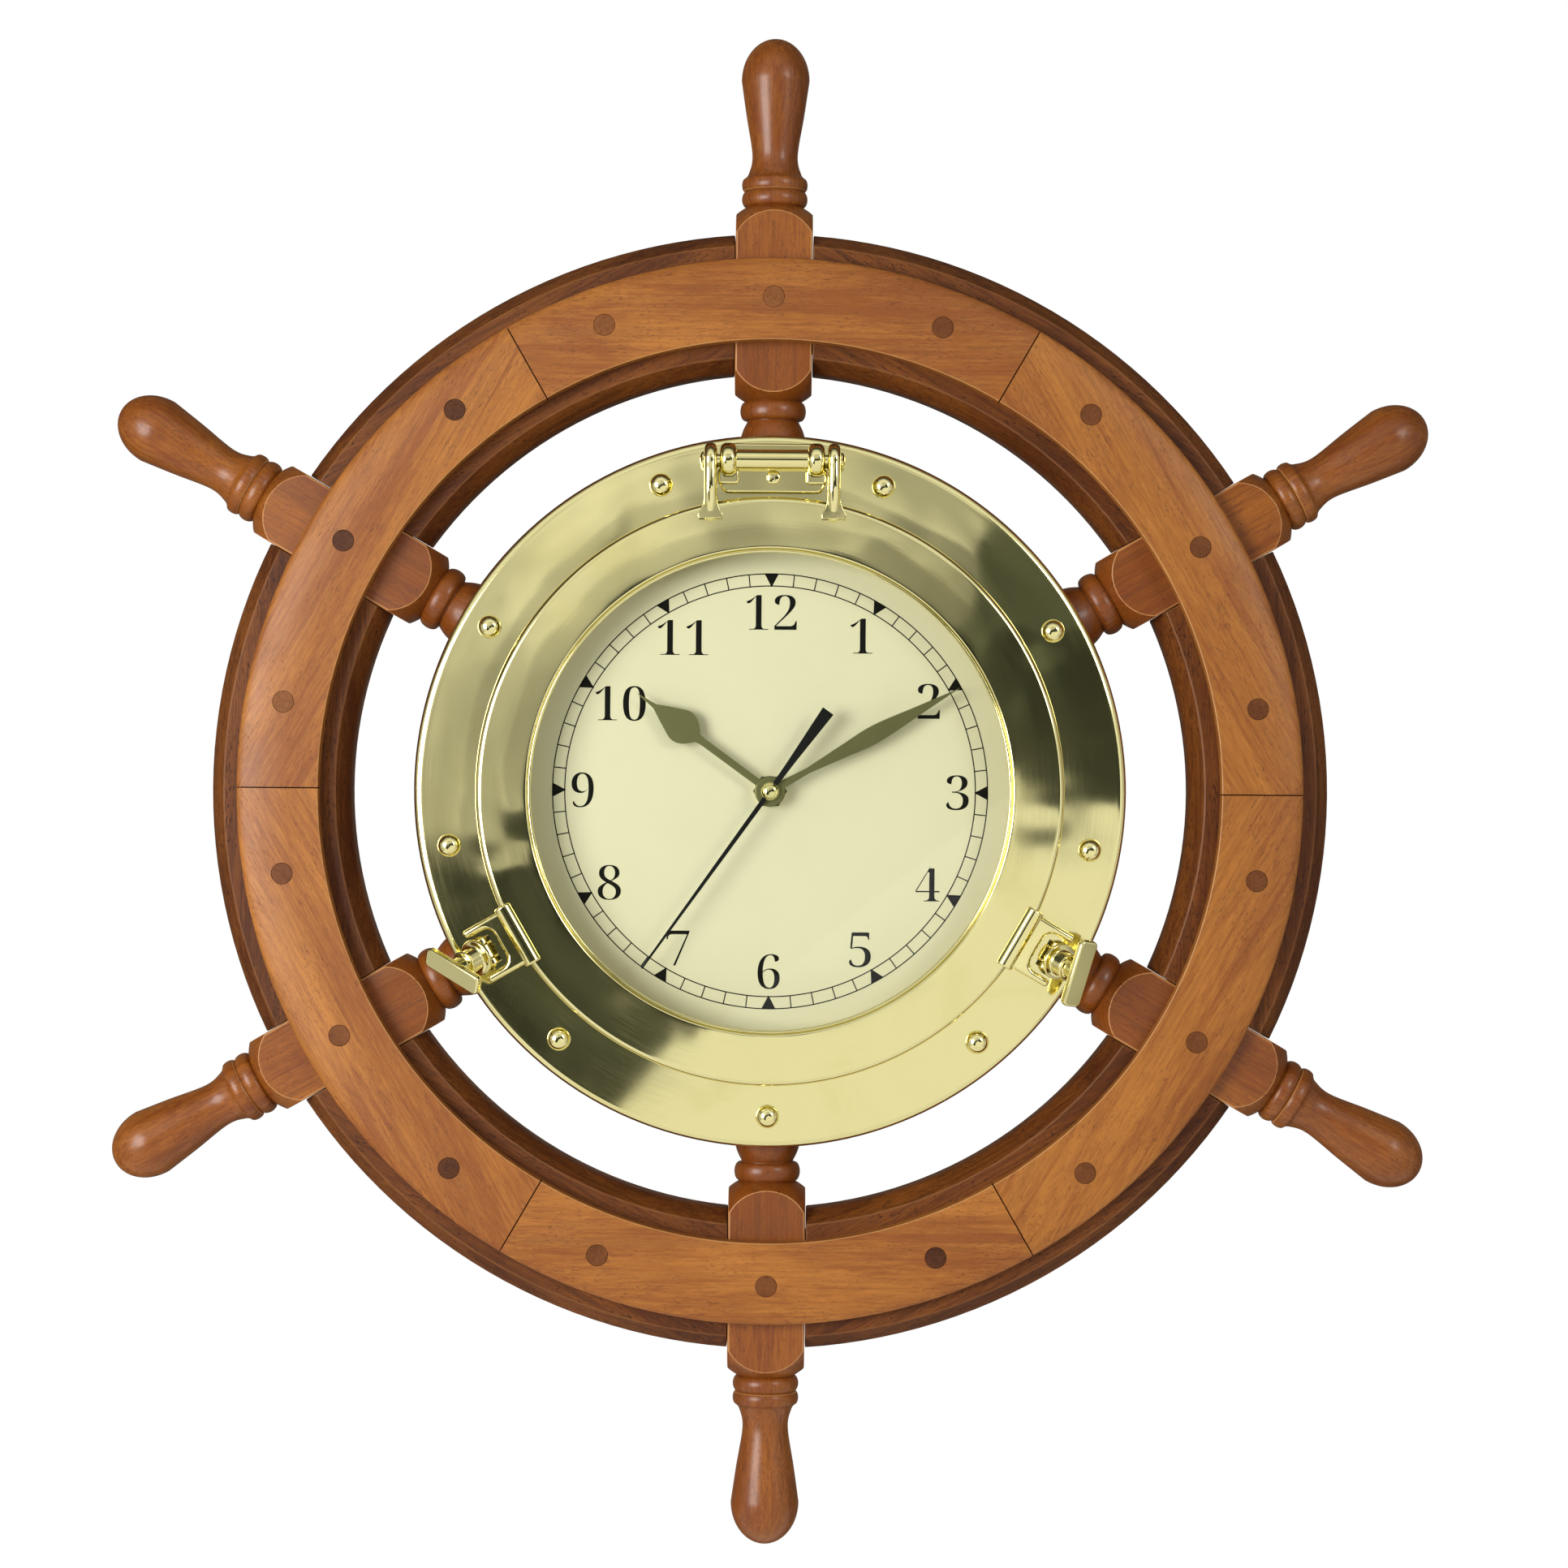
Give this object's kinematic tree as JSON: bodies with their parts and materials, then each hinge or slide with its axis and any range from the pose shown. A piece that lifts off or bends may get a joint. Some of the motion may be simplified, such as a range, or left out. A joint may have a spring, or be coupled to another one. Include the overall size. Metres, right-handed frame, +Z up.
{
  "type": "ships wheel wall clock",
  "caption": "Wooden ship's wheel wall clock with turned spokes and handles, and a hinged brass porthole with swing-bolt clamps over a cream dial with moving hands.",
  "frame": {"origin": "on the wheel's axis in the plane of the wall, at the middle of the back cover's rear face", "axes": "+Z up towards 12 o'clock, +Y from the dial into the wall, +X to the right seen from the front"},
  "size_m": [0.531, 0.0716, 0.6096],
  "materials": {
    "varnished_beech": "light orange-brown beech under satin varnish",
    "dark_felloe_wood": "dark brown stained hardwood, varnished",
    "turned_spoke_wood": "red-brown stained hardwood, gloss varnish",
    "back_plywood": "bare plywood",
    "polished_brass": "polished and lacquered",
    "hand_brass": "olive-toned brass, satin",
    "zinc_plated_steel": "zinc plated",
    "port_glass": "clear flat glass",
    "cream_dial": "cream paint with black print",
    "black_plastic": "moulded",
    "gear_plastic": "moulded acetal",
    "black_lacquer": "black lacquer",
    "battery_sleeve": "printed sleeve without marks"
  },
  "bodies": {
    "wheel": {"back_cover": "back_plywood", "back_facing_10": "varnished_beech", "back_facing_12": "varnished_beech", "back_facing_2": "varnished_beech", "back_facing_4": "varnished_beech", "back_facing_6": "varnished_beech", "back_facing_8": "varnished_beech", "battery": "battery_sleeve", "dial": "cream_dial", "felloe_1": "dark_felloe_wood", "felloe_11": "dark_felloe_wood", "felloe_3": "dark_felloe_wood", "felloe_5": "dark_felloe_wood", "felloe_7": "dark_felloe_wood", "felloe_9": "dark_felloe_wood", "fixing_nut": "polished_brass", "flange_screw_1": "polished_brass", "flange_screw_2": "polished_brass", "flange_screw_3": "polished_brass", "flange_screw_4": "polished_brass", "flange_screw_5": "polished_brass", "flange_screw_6": "polished_brass", "flange_screw_7": "polished_brass", "flange_screw_8": "polished_brass", "flange_screw_9": "polished_brass", "front_facing_10": "varnished_beech", "front_facing_12": "varnished_beech", "front_facing_2": "varnished_beech", "front_facing_4": "varnished_beech", "front_facing_6": "varnished_beech", "front_facing_8": "varnished_beech", "hanger_plate": "zinc_plated_steel", "hinge_bracket": "polished_brass", "hinge_pin": "polished_brass", "hub": "turned_spoke_wood", "left_pivot_pin": "polished_brass", "movement_case": "black_plastic", "movement_cover": "black_plastic", "port_flange": "polished_brass", "right_pivot_pin": "polished_brass", "spoke_10": "turned_spoke_wood", "spoke_12": "turned_spoke_wood", "spoke_2": "turned_spoke_wood", "spoke_4": "turned_spoke_wood", "spoke_6": "turned_spoke_wood", "spoke_8": "turned_spoke_wood"},
    "port": {"port_bezel": "polished_brass", "port_glass": "port_glass", "glass_ring": "polished_brass"},
    "right_bolt": {"right_swing_bolt": "polished_brass"},
    "right_nut": {"right_thumb_nut": "polished_brass"},
    "left_bolt": {"left_swing_bolt": "polished_brass"},
    "left_nut": {"left_thumb_nut": "polished_brass"},
    "hour": {"hour_wheel": "gear_plastic", "hour_hand": "hand_brass"},
    "minute": {"minute_arbor": "zinc_plated_steel", "minute_hand": "hand_brass"},
    "second": {"second_hand": "black_lacquer"},
    "motion_wheel": {"minute_wheel": "gear_plastic"},
    "knob": {"setting_knob": "black_plastic"}
  },
  "joints": [
    {"name": "port_hinge", "type": "hinge", "parent": "wheel", "child": "port", "pos_m": [0, -0.0513, 0.1323], "axis": [-1, 0, 0], "range_deg": [0, 110]},
    {"name": "right_bolt_swing", "type": "hinge", "parent": "wheel", "child": "right_bolt", "pos_m": [0.11258, -0.0482, -0.065], "axis": [-0.5, 0, -0.866], "range_deg": [-19, 36]},
    {"name": "right_nut_turn", "type": "hinge", "parent": "right_bolt", "child": "right_nut", "pos_m": [0.11258, -0.0482, -0.065], "axis": [0.509, -0.809, -0.2939], "continuous": true},
    {"name": "left_bolt_swing", "type": "hinge", "parent": "wheel", "child": "left_bolt", "pos_m": [-0.11258, -0.0482, -0.065], "axis": [-0.5, 0, 0.866], "range_deg": [-11, 44]},
    {"name": "left_nut_turn", "type": "hinge", "parent": "left_bolt", "child": "left_nut", "pos_m": [-0.11258, -0.0482, -0.065], "axis": [-0.6016, -0.7193, -0.3473], "continuous": true},
    {"name": "minute_turn", "type": "hinge", "parent": "wheel", "child": "minute", "pos_m": [0, -0.04, 0], "axis": [0, 1, 0], "continuous": true},
    {"name": "hour_turn", "type": "hinge", "parent": "wheel", "child": "hour", "pos_m": [0, -0.038, 0], "axis": [0, 1, 0], "continuous": true},
    {"name": "second_turn", "type": "hinge", "parent": "wheel", "child": "second", "pos_m": [0, -0.042, 0], "axis": [0, 1, 0], "continuous": true},
    {"name": "motion_wheel_turn", "type": "hinge", "parent": "wheel", "child": "motion_wheel", "pos_m": [0, -0.025, 0.012], "axis": [0, 1, 0], "continuous": true},
    {"name": "knob_turn", "type": "hinge", "parent": "wheel", "child": "knob", "pos_m": [0.01109, -0.01, 0.01659], "axis": [0, 1, 0], "continuous": true}
  ],
  "couplings": [
    {"joint": "hour_turn", "follows": "minute_turn", "ratio": 0.083333},
    {"joint": "motion_wheel_turn", "follows": "minute_turn", "ratio": -0.33333},
    {"joint": "knob_turn", "follows": "minute_turn", "ratio": 1}
  ]
}
